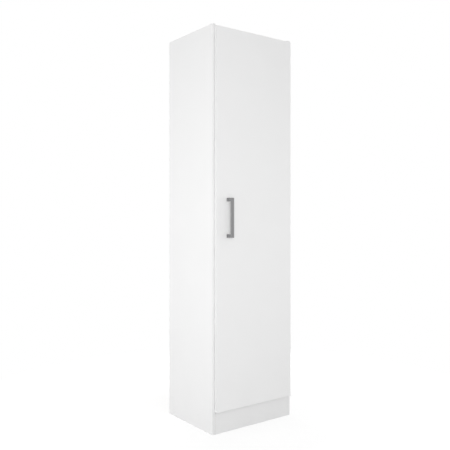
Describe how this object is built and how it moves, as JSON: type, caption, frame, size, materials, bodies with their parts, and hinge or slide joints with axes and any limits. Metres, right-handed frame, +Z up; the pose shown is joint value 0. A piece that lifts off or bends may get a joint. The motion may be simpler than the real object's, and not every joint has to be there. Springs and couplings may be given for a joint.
{
  "type": "broom cupboard",
  "caption": "Tall narrow white cupboard with a full-height door on concealed hinges, an upper shelf, a plinth and a square bar handle, for brooms and cleaning gear.",
  "frame": {"origin": "on the floor, under the middle of the whole cupboard, door and handle included", "axes": "+X to the viewer's right facing the door (the hinge side), +Y back towards the wall, +Z up"},
  "size_m": [0.456, 0.4154, 1.8],
  "materials": {
    "white_board": "white melamine-faced particle board, satin",
    "white_hardboard": "thin white-faced hardboard, satin",
    "handle_metal": "brushed grey metal",
    "hinge_steel": "nickel-plated pressed steel",
    "screw_steel": "bright zinc-plated steel",
    "cam_zinc": "cast zinc",
    "beech": "plain beech",
    "clear_rubber": "soft clear buffer"
  },
  "bodies": {
    "carcass": {"left_side_panel": "white_board", "right_side_panel": "white_board", "top_panel": "white_board", "bottom_panel": "white_board", "upper_shelf": "white_board", "plinth": "white_board", "wall_rail": "white_board", "back_panel": "white_hardboard", "hinge_plate_upper": "hinge_steel", "hinge_arm_upper": "hinge_steel", "hinge_plate_middle": "hinge_steel", "hinge_arm_middle": "hinge_steel", "hinge_plate_lower": "hinge_steel", "hinge_arm_lower": "hinge_steel", "hinge_arm_pins": "hinge_steel", "cam_bolts": "screw_steel", "hinge_plate_screws": "screw_steel", "hinge_arm_screws": "screw_steel", "back_panel_nails": "screw_steel", "cam_discs": "cam_zinc", "wooden_dowels": "beech"},
    "inner_links": {"hinge_inner_link_upper": "hinge_steel", "hinge_inner_link_middle": "hinge_steel", "hinge_inner_link_lower": "hinge_steel"},
    "outer_links": {"hinge_outer_link_upper": "hinge_steel", "hinge_outer_link_middle": "hinge_steel", "hinge_outer_link_lower": "hinge_steel"},
    "door": {"door_panel": "white_board", "door_handle": "handle_metal", "handle_screws": "screw_steel", "door_bumpers": "clear_rubber", "hinge_cup_pins": "hinge_steel", "hinge_cup_screws": "screw_steel", "hinge_cup_upper": "hinge_steel", "hinge_cup_middle": "hinge_steel", "hinge_cup_lower": "hinge_steel"}
  },
  "joints": [
    {"name": "door_swing", "type": "hinge", "parent": "inner_links", "child": "door", "pos_m": [0.2095, -0.15835, 0], "axis": [0, 0, 1], "range_deg": [0, 134.28]},
    {"name": "inner_link_turn", "type": "hinge", "parent": "carcass", "child": "inner_links", "pos_m": [0.1948, -0.15135, 0], "axis": [0, 0, 1], "range_deg": [-39.29, 0]},
    {"name": "outer_link_turn", "type": "hinge", "parent": "carcass", "child": "outer_links", "pos_m": [0.1862, -0.16305, 0], "axis": [0, 0, 1], "range_deg": [-39.29, 0]}
  ],
  "couplings": [
    {"joint": "inner_link_turn", "follows": "door_swing", "ratio": -0.29254},
    {"joint": "outer_link_turn", "follows": "door_swing", "ratio": -0.29254}
  ]
}
